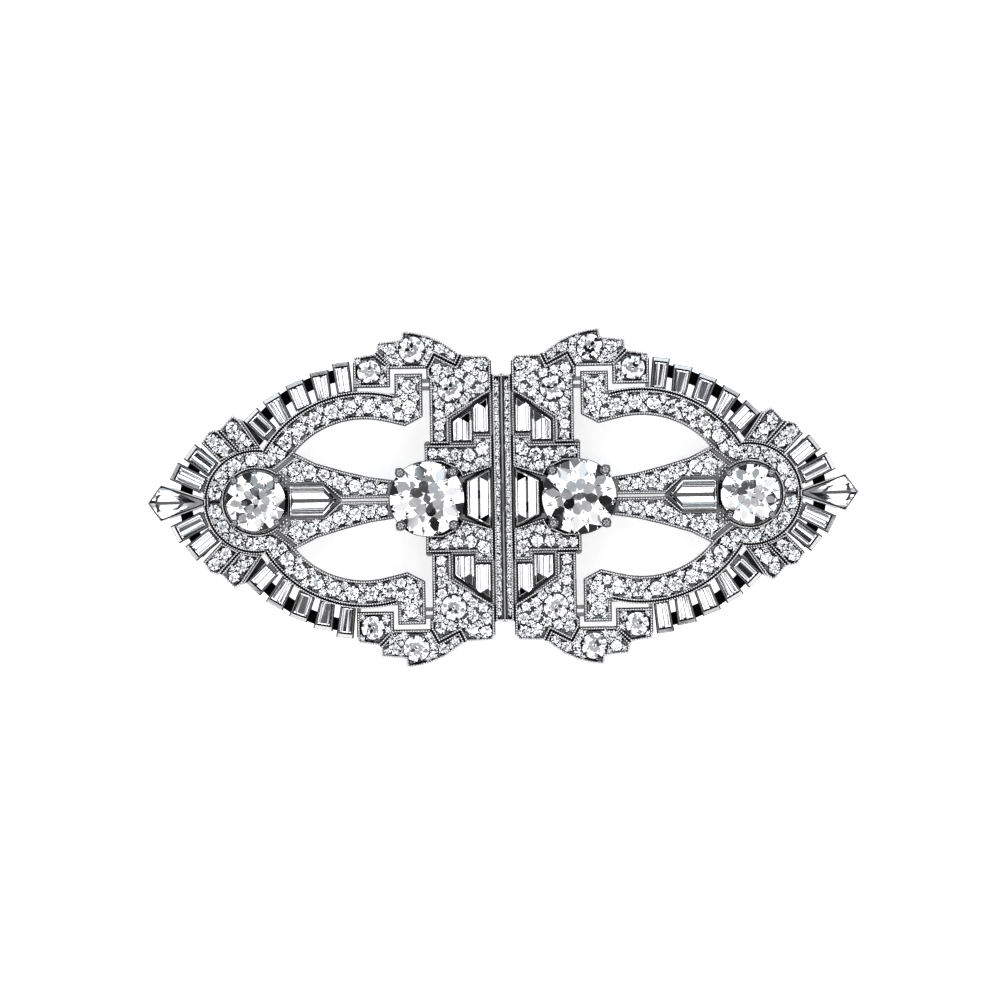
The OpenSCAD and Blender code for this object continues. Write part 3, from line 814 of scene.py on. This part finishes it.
# Painted shade on the walls beside the baguettes, in near-black metal
WALL_PROFILE = [(-0.03, 4.7), (-0.03, 5.86), (0.1, 5.8), (0.1, 4.7)]
KITE_EDGE = [KITE[2], KITE[3], KITE[4], (KITE[4][0], 0)]
# Painted shade: a flat strip of near-black metal along the kite's edge
KITE_SHADE_STRIP = [(0.16, 6.4), (0.16, 6.53), (0.3, 6.53), (0.3, 6.4)]
KITE_RIM = [(0.0, 6.4), (0.0, 6.5), (0.06, 6.58), (0.15, 6.56), (0.16, 6.4)]
# Painted shade: flat strips of near-black metal round the step cut stones
SHADE_STRIP = [(0.0, 5.9), (0.0, 6.02), (0.2, 6.02), (0.2, 5.9)]
WIDE_LINE = [(0.0, 5.9), (0.0, 6.03), (0.4, 6.03), (0.4, 5.9)]
SEAM_LIP = [(0.0, 5.0), (0.0, 5.93), (0.13, 5.93), (0.13, 5.0)]
# Painted shade along the seam, in near-black metal
SEAM_LINE = [(0.0, 5.9), (0.0, 6.03), (0.12, 6.03), (0.12, 5.9)]
STEM_END_GRAINS = [(24.4, 2.05), (24.35, 2.45), (24.75, 2.35), (24.7, 2.8), (25.05, 2.75),
                   (25.05, 3.15), (24.42, 0.35), (24.42, 0.8), (24.42, 1.25)]
# Wedge of near-black metal between the last baguette of the fringe and the first tapered bar:
# painted shade in that gap
GUSSET = [(26.85, 6.85), (27.3, 6.3), (29.35, 9.3), (29.1, 9.1)]
GUSSET_Z = (4.6, 5.75)


def offset_line(path, d, closed=False):
    """The line moved to its left by d, with mitred corners."""
    line = [Vector(p) for p in path]
    n = len(line)
    moved = []
    for i, at in enumerate(line):
        before = line[i - 1] if closed or i else None
        after = line[(i + 1) % n] if closed or i < n - 1 else None
        a = inward(before, at) if before else inward(at, after)
        b = inward(at, after) if after else a
        q = at + d * (a + b) / (1 + a.dot(b))
        moved.append((q.x, q.y))
    return moved


def sweep(shape, path, profile, closed=False):
    """A closed border of this profile, to the left of a line."""
    n = len(path)
    m = len(profile)
    lines = [offset_line(path, d, closed) for d, z in profile]
    points = [(*lines[k][i], profile[k][1]) for i in range(n) for k in range(m)]
    faces = []
    for i in range(n if closed else n - 1):
        j = (i + 1) % n
        for k in range(m):
            q = (k + 1) % m
            faces.append((j * m + k, j * m + q, i * m + q, i * m + k))
    if not closed:
        faces.append(tuple(range(m)))
        faces.append(tuple((n - 1) * m + k for k in reversed(range(m))))
    shape.add(points, faces)


def as_open(paths):
    return [(path, False) for path in paths]


def rim_lines():
    """Outlines of the upper half with the bed on their left, and whether they close."""
    closed = [BLOCK, CROWN_TOP, PANEL, MEMBER, BAR_TWO, BAR_ONE]
    hook = [(12, 11.9), (12, 14.1), (8.9, 14.1), (8.9, 9.25), (10.9, 8.2), (12.9, 8.7)]
    hook += arc_line(ARC_CENTRE, ARC_INNER_R, 104, 38)
    spine = [(SPINE_U, 0), (SPINE_U, SPINE_TOP), (SEAM_U, SPINE_TOP)]
    stem = [(23.35, 5.4), (21, 4.2), (18, 3.3), (15, 2.55), (12.6, 2.2)]
    return [(anticlockwise(p), True) for p in closed] + as_open([hook, spine, stem])


def narrow_lines():
    """Thin borders: the slit, the divider between arc and stem, and round the end stone."""
    slit = [(12.9, 0.16), (18.3, 0.16), (20.05, 1.75)]
    divider_arc = [(23.42, 5.3), (25.62, 3.5)]
    divider_stem = [(25.45, 3.25), (23.25, 5.05)]
    ring_inner = arc_line((END_U, 0), END_RIM_R, 128, 0)
    return [slit, divider_arc, divider_stem, ring_inner]


def band_lines():
    """Polished bands round the arc and the ring."""
    arc = arc_line(ARC_CENTRE, ARC_OUTER_R, 31.5, 105)
    ring = arc_line((END_U, 0), RING_R, 0, 98)
    return [arc, ring]


# Lines, profile of the border, and rows of beads on it: across the rim, and height
BORDERS = [
    (rim_lines(), SLOPED_RIM, RIM_BEADS),
    (as_open(narrow_lines()), NARROW_RIM, NARROW_BEADS),
    (as_open(band_lines()), EDGE_LINE, EDGE_BEADS),
    (as_open(band_lines()), INNER_LINE, BAND_BEADS),
    (as_open([[(SEAM_U, 0), (SEAM_U, SPINE_TOP)]]), SEAM_LIP, []),
]


def side_walls(shape, row):
    """Walls in near-black metal along both long sides of a baguette's setting: painted shade."""
    a, b = Vector(row[:2]), Vector(row[2:4])
    n = inward(a, b)
    for turn in (-1, 1):
        near, far = a + turn * n * row[4] / 2, b + turn * n * row[5] / 2
        line = [(near.x, near.y), (far.x, far.y)]
        sweep(shape, line if turn > 0 else line[::-1], WALL_PROFILE)


def shade_strips():
    """Painted shade: flat strips and a wedge of near-black metal round the step cut stones, along
    the bands, seam and kite, and beside the baguettes.
    """
    shape = Shape()
    window = [(5.7, 6.3), (5.7, 8.85), (1.4, 11.95), (1.4, 7.25)]
    beside_trapeze = [(1.35, 3.4), (4.1, 1.97), (4.1, 0)]
    for path in (window, beside_trapeze):
        sweep(shape, path, SHADE_STRIP)
    sweep(shape, [(4.12, 1.8), (4.12, 0)], WIDE_LINE)
    sweep(shape, [(SEAM_U, SPINE_TOP), (SEAM_U, 0)], SEAM_LINE)
    sweep(shape, KITE_EDGE, KITE_SHADE_STRIP)
    for path in band_lines():
        sweep(shape, path, BAND_SHADE_STRIP)
    for row in BAGUETTES:
        side_walls(shape, row)
    n = len(GUSSET)
    shape.add([(*q, z) for z in GUSSET_Z for q in GUSSET],
              [tuple(reversed(range(n))), tuple(range(n, 2 * n))]
              + [(k, (k + 1) % n, n + (k + 1) % n, n + k) for k in range(n)])
    return shape


def borders():
    shape = Shape()
    sweep(shape, arc_line((END_U, 0), END_COLLET_R, 0, 180), END_COLLET)
    sweep(shape, KITE_EDGE, KITE_RIM)
    for lines, profile, _ in BORDERS:
        for path, closed in lines:
            sweep(shape, path, profile, closed)
    return shape


def beadwork():
    """Milgrain on the borders and grains between the stones."""
    shape = Shape()
    placed = []
    for lines, _, rows in BORDERS:
        for path, closed in lines:
            for d, z in rows:
                for q in evenly(offset_line(path, d, closed), BEAD_PITCH, closed):
                    recent = placed[-BEADS_REMEMBERED:]
                    crowded = any(math.dist(q, other) < BEAD_APART for other in recent)
                    if q[1] > AXIS_GAP and not crowded:
                        placed.append(q)
                        bead(shape, (*q, z), BEAD_R)
    for q in evenly(inset(WINDOW, -WINDOW_BEADS_OUT), BEAD_PITCH, True):
        bead(shape, (*q, WINDOW_BEADS_Z), BEAD_R)
    for q in grain_points():
        bead(shape, (*q, GRAIN_Z), GRAIN_R)
    for q in STEM_END_GRAINS:
        bead(shape, (*q, RIM_Z), GRAIN_R)
    return shape


def baguette_outline(row):
    """Outline of a baguette's stone, which ends before the polished end block."""
    a, b = Vector(row[:2]), Vector(row[2:4])
    along = (b - a).normalized()
    inner_half, outer_half = row[4] / 2, row[5] / 2
    length = (b - a).length
    a_share, b_share = BAGUETTE_INSET / length, 1 - END_BLOCK / length
    near_half = inner_half + (outer_half - inner_half) * a_share - BAGUETTE_INSET
    far_half = inner_half + (outer_half - inner_half) * b_share - BAGUETTE_INSET
    near = a + along * BAGUETTE_INSET
    far = b - along * END_BLOCK
    n = inward(a, b)
    corners = [near - n * near_half, far - n * far_half, far + n * far_half, near + n * near_half]
    return [(c.x, c.y) for c in corners], (near_half + far_half) / 2


def inner_block(shape, row, along, n):
    """The setting's inner end, from the stone to the polished band."""
    a = Vector(row[:2])
    at_arc = row[0] < END_U
    centre, r = (ARC_CENTRE, ARC_OUTER_R) if at_arc else ((END_U, 0), RING_R)
    gap = (a - Vector(centre)).length - r + BAND_LAP
    half = row[4] / 2 - INNER_BLOCK_MARGIN
    across = [(-half + d, z) for d, z in INNER_BLOCK_PROFILE]
    across += [(half - d, z) for d, z in reversed(INNER_BLOCK_PROFILE)]
    m = len(across)
    points = [(*(a + along * back + n * t), z) for back in (BLOCK_LAP, -gap) for t, z in across]
    faces = [tuple(range(m)), tuple(m + k for k in reversed(range(m)))]
    faces += [((k + 1) % m, k, m + k, m + (k + 1) % m) for k in range(m)]
    shape.add(points, faces)


def end_blocks():
    """Polished blocks at the outer ends of the baguettes' settings."""
    shape = Shape()
    for row in BAGUETTES:
        a, b = Vector(row[:2]), Vector(row[2:4])
        along = (b - a).normalized()
        n = inward(a, b)
        half = row[5] / 2 - OUTER_BLOCK_MARGIN
        points = []
        for back, z in BLOCK_PROFILE:
            at = b - along * back
            points += [(*(at - n * half), z), (*(at + n * half), z)]
        m = len(BLOCK_PROFILE)
        faces = [tuple(2 * k for k in range(m)), tuple(2 * k + 1 for k in reversed(range(m)))]
        for k in range(m):
            q = (k + 1) % m
            faces.append((2 * q, 2 * k, 2 * k + 1, 2 * q + 1))
        shape.add(points, faces)
        inner_block(shape, row, along, n)
    return shape


def round_stones(rows, girdle_z, gem, side, halves, chance):
    shape = Shape()
    for half in halves:
        for u, v, r in rows:
            spin = chance.uniform(0, math.tau)
            lean = SMALL_LEAN if r < MEDIUM_R else LARGE_LEAN
            tilt = (chance.uniform(-lean, lean), chance.uniform(-lean, lean))
            cut = SMALL_OLD_CUT if gem is SINGLE_CUT and r > FINE_CUT_R else gem
            set_stone(shape, cut, (side * u, half * v, girdle_z), r, spin, tilt)
    return shape


def stone_piece(node, shape, body):
    piece = shape.build(node + "_cut", DIAMOND, body)
    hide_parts(node)


def extra_stones(name, shape, body):
    piece = shape.build(name, DIAMOND, body)


def metal_piece(name, shape, body, smooth, material):
    piece = shape.build(name, material, body, smooth)


def centred(outline):
    """The sides of an outline round its own middle, and that middle."""
    p = [Vector(q) for q in anticlockwise(outline)]
    middle = sum(p, Vector((0, 0))) / len(p)
    moved = [q - middle for q in p]
    return list(zip(moved, moved[1:] + moved[:1])), middle


def place_gem(gem, middle, girdle_z):
    points, faces = gem
    shape = Shape()
    shape.add([(middle.x + x, middle.y + y, girdle_z + z) for x, y, z in points], faces)
    return shape


def keel_piece(node, outline, girdle_z, half_w, cut, side, half, body):
    sides, middle = centred(outline)
    depth = girdle_z - BED_Z - SEAT_MARGIN
    gem = keel_cut(sides, KEEL_CROWN_H, depth, half_w, *cut)
    stone_piece(node, place_gem(gem, middle, girdle_z).mirrored(side, half), body)


# Round stones: node, rounds, girdle's height, cut, and for the middle the halves in one node
MAIN_ROUNDS = [
    ("large_stone", [(LARGE_U, 0, LARGE_R)], LARGE_GIRDLE_Z, OLD_CUT, UPPER),
    ("end_stone", [(END_U, 0, END_R)], END_GIRDLE_Z, OLD_CUT, UPPER),
]
FIELD_ROUNDS = [
    ("ring_pave", RING_ROUNDS, SMALL_GIRDLE_Z, SINGLE_CUT, UPPER),
    ("stem_pave", STEM_ROUNDS, SMALL_GIRDLE_Z, SINGLE_CUT, BOTH_HALVES),
    ("tip_bar_pave", TIP_BAR_ROUNDS, SMALL_GIRDLE_Z, SINGLE_CUT, BOTH_HALVES),
]
HALF_ROUNDS = [
    ("corner_stone", [CORNER_ROUND], MEDIUM_GIRDLE_Z, SMALL_OLD_CUT),
    ("shoulder_stone", [SHOULDER_ROUND], MEDIUM_GIRDLE_Z, SMALL_OLD_CUT),
    ("panel_stone", [PANEL_ROUND], MEDIUM_GIRDLE_Z, SMALL_OLD_CUT),
    ("arc_pave", ARC_ROUNDS + HOOK_ROUNDS, SMALL_GIRDLE_Z, SINGLE_CUT),
    ("plate_pave", PLATE_ROUNDS, SMALL_GIRDLE_Z, SINGLE_CUT),
]
# Step cut stones: outline, girdle's height, half width across the facets, and how they are cut
MIDDLE_STEP_CUTS = [
    ("trapeze_stone", TRAPEZE, TRAPEZE_GIRDLE_Z, 1.35, (ALONG_SEAM, TRAPEZE_KEEL, STEEP_END)),
    ("bullet_stone", inset(BULLET, BEZEL_INSET), BULLET_GIRDLE_Z, 1.66,
     (ALONG_CLIP, WIDE_KEEL, END_SLOPE)),
    ("kite_stone", inset(KITE_SEAT, -KITE_SPREAD), KITE_GIRDLE_Z, 1.88,
     (ALONG_CLIP, KITE_KEEL, STEEP_END, KITE_CROWN_TURNS)),
]
HALF_STEP_CUTS = [
    ("inner_calibre", INNER_CALIBRE, CHANNEL_GIRDLE_Z, 0.87, (ALONG_SEAM, SLIM_KEEL, END_SLOPE)),
    ("outer_calibre", OUTER_CALIBRE, CHANNEL_GIRDLE_Z, 1.05, (ALONG_SEAM, WIDE_KEEL, END_SLOPE)),
]


def baguette_stones():
    shape = Shape()
    for row in BAGUETTES:
        outline, half_w = baguette_outline(row)
        sides, middle = centred(outline)
        along = (Vector(row[2:4]) - Vector(row[:2])).normalized()
        depth = BAGUETTE_DEPTH * half_w
        gem = keel_cut(sides, BAGUETTE_CROWN_H, depth, half_w, along, SLIM_KEEL, END_SLOPE)
        shape.join(place_gem(gem, middle, BAGUETTE_GIRDLE_Z))
    return shape


def dress_rounds(rounds, label, side, body, chance):
    for node, rows, z, gem, halves in rounds:
        stone_piece(f"{label}_{node}", round_stones(rows, z, gem, side, halves, chance), body)


def dress_middle(label, side, body, chance):
    """The stones on the long axis, and the fields whose two halves are one node."""
    dress_rounds(MAIN_ROUNDS, label, side, body, chance)
    for node, outline, z, half_w, cut in MIDDLE_STEP_CUTS:
        keel_piece(f"{label}_{node}", outline, z, half_w, cut, side, 1, body)
    dress_rounds(FIELD_ROUNDS, label, side, body, chance)


def dress_half(label, level, side, body, chance):
    """The stones of the upper or the lower half."""
    half = HALVES[level]
    for node, rows, z, gem in HALF_ROUNDS:
        shape = round_stones(rows, z, gem, side, (half,), chance)
        stone_piece(f"{label}_{node}_{level}", shape, body)
    for node, outline, z, half_w, cut in HALF_STEP_CUTS:
        keel_piece(f"{label}_{node}_{level}", outline, z, half_w, cut, side, half, body)
    stone_piece(f"{label}_baguettes_{level}", baguette_stones().mirrored(side, half), body)


def dress_clip(label, metal_shapes):
    side = SIDES[label]
    body = label + "_clip"
    chance = random.Random(SEED + side)
    dress_middle(label, side, body, chance)
    for level in HALVES:
        dress_half(label, level, side, body, chance)
    for name, rows, z in (("spine_stones", spine_stones(), SPINE_GIRDLE_Z),
                          ("filler_stones", FILLERS, SMALL_GIRDLE_Z)):
        shape = round_stones(rows, z, SINGLE_CUT, side, BOTH_HALVES, chance)
        extra_stones(f"{label}_{name}", shape, body)
    for name, upper_half, smooth, material in metal_shapes:
        whole = Shape()
        for half in BOTH_HALVES:
            whole.join(upper_half.mirrored(side, half))
        metal_piece(f"{label}_{name}", whole, body, smooth, material)


def finish_cad_nodes():
    metal = {"left_mount": PLATINUM, "right_mount": PLATINUM, "left_flap": STEEL,
             "right_flap": STEEL, "brooch_frame": STEEL}
    for name, material in metal.items():
        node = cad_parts[name]
        node.data.materials.clear()
        node.data.materials.append(material)


# Floor, light and camera, with lengths in metres

FLOOR_REACH = 3.0
FLOOR_SHADES = [(0.0, (0.83, 0.83, 0.83)), (1.0, (0.87, 0.87, 0.87))]
FLOOR_GLOW = 0.41
# Light from the horizon, at 0, to straight above, at 1
SKY = [(0.0, 0.04), (0.27, 0.04), (0.31, 1.9), (0.7, 1.9), (0.74, 1.15), (0.97, 1.15),
       (0.98, 0.45)]
SOFT_BOXES = 6.0
BOX_EDGE = (-0.56, -0.44)
GAP_LEVEL = 0.06
TINTS = [(0.2, (1.0, 0.98, 0.985)), (0.8, (0.93, 0.97, 1.0))]
BACKDROP = (0.95, 0.95, 0.95, 1)
CAMERA_DISTANCE = 0.5
CAMERA_PLACE = (-0.00035, -0.00026)
CAMERA_TURN = -0.93
VIEW_WIDTH = 0.1124
SENSOR_WIDTH = 36.0


def make_floor():
    mesh = bpy.data.meshes.new("floor")
    corners = [(-FLOOR_REACH, -FLOOR_REACH, 0), (FLOOR_REACH, -FLOOR_REACH, 0),
               (FLOOR_REACH, FLOOR_REACH, 0), (-FLOOR_REACH, FLOOR_REACH, 0)]
    mesh.from_pydata(corners, [], [(0, 1, 2, 3)])
    material, nodes, links, shader = new_material("floor")
    noise = add_noise(nodes, links, 8.0, 2.0)
    links.new(add_ramp(nodes, links, noise, FLOOR_SHADES), shader.inputs["Base Color"])
    shader.inputs["Roughness"].default_value = 0.9
    shader.inputs["Specular IOR Level"].default_value = 0.1
    shader.inputs["Emission Color"].default_value = (1, 1, 1, 1)
    shader.inputs["Emission Strength"].default_value = FLOOR_GLOW
    mesh.materials.append(material)
    floor = bpy.data.objects.new("floor", mesh)
    bpy.context.scene.collection.objects.link(floor)


def make_world():
    """Even studio light from above with dark gaps between the soft boxes, and a white backdrop."""
    world = bpy.data.worlds.new("studio")
    world.use_nodes = True
    nodes, links = world.node_tree.nodes, world.node_tree.links
    where = nodes.new("ShaderNodeTexCoord")
    parts = add_axes(nodes, links, where.outputs["Generated"])
    sky = add_ramp(nodes, links, parts["Z"], [(at, (level,) * 3) for at, level in SKY])
    around = add_math(nodes, links, "ARCTAN2", parts["Y"], parts["X"])
    wave = add_math(nodes, links, "SINE", add_math(nodes, links, "MULTIPLY", around, SOFT_BOXES))
    boxes = add_product(nodes, links, sky, add_range(nodes, links, wave, BOX_EDGE, (GAP_LEVEL, 1.0)))
    tint = add_ramp(nodes, links, add_math(nodes, links, "SINE", around), TINTS)
    seen = nodes.new("ShaderNodeLightPath")
    backdrop = nodes.new("ShaderNodeMix")
    backdrop.data_type = "RGBA"
    backdrop.inputs["B"].default_value = BACKDROP
    links.new(seen.outputs["Is Camera Ray"], backdrop.inputs["Factor"])
    links.new(add_product(nodes, links, boxes, tint), backdrop.inputs["A"])
    background = nodes["Background"]
    links.new(backdrop.outputs["Result"], background.inputs["Color"])
    background.inputs["Strength"].default_value = 1.0
    bpy.context.scene.world = world


def make_camera():
    """Straight above the brooch, as in the photo."""
    data = bpy.data.cameras.new("camera")
    data.sensor_width = SENSOR_WIDTH
    data.lens = SENSOR_WIDTH * CAMERA_DISTANCE / VIEW_WIDTH
    camera = bpy.data.objects.new("camera", data)
    camera.location = (*CAMERA_PLACE, CAMERA_DISTANCE + RIM_Z * MM)
    camera.rotation_euler = (0, 0, math.radians(CAMERA_TURN))
    bpy.context.scene.collection.objects.link(camera)
    bpy.context.scene.camera = camera


metal_parts = [
    # The metal between the stones is painted darker, as shade
    ("pave_metal", bed_sheet(), False, SHADED_PAVE_METAL),
    ("borders", borders(), False, PLATINUM),
    ("end_blocks", end_blocks(), False, PLATINUM),
    # Beads and grains painted lighter, as light
    ("beadwork", beadwork(), True, LIT_BEAD_METAL),
    # Near-black strips and a wedge that paint shade
    ("painted_shade_strips", shade_strips(), False, SHADE_STRIP_METAL),
]
for clip in SIDES:
    dress_clip(clip, metal_parts)
finish_cad_nodes()
make_floor()
make_world()
make_camera()
view = bpy.context.scene.view_settings
view.view_transform = "Standard"
view.look = "High Contrast"
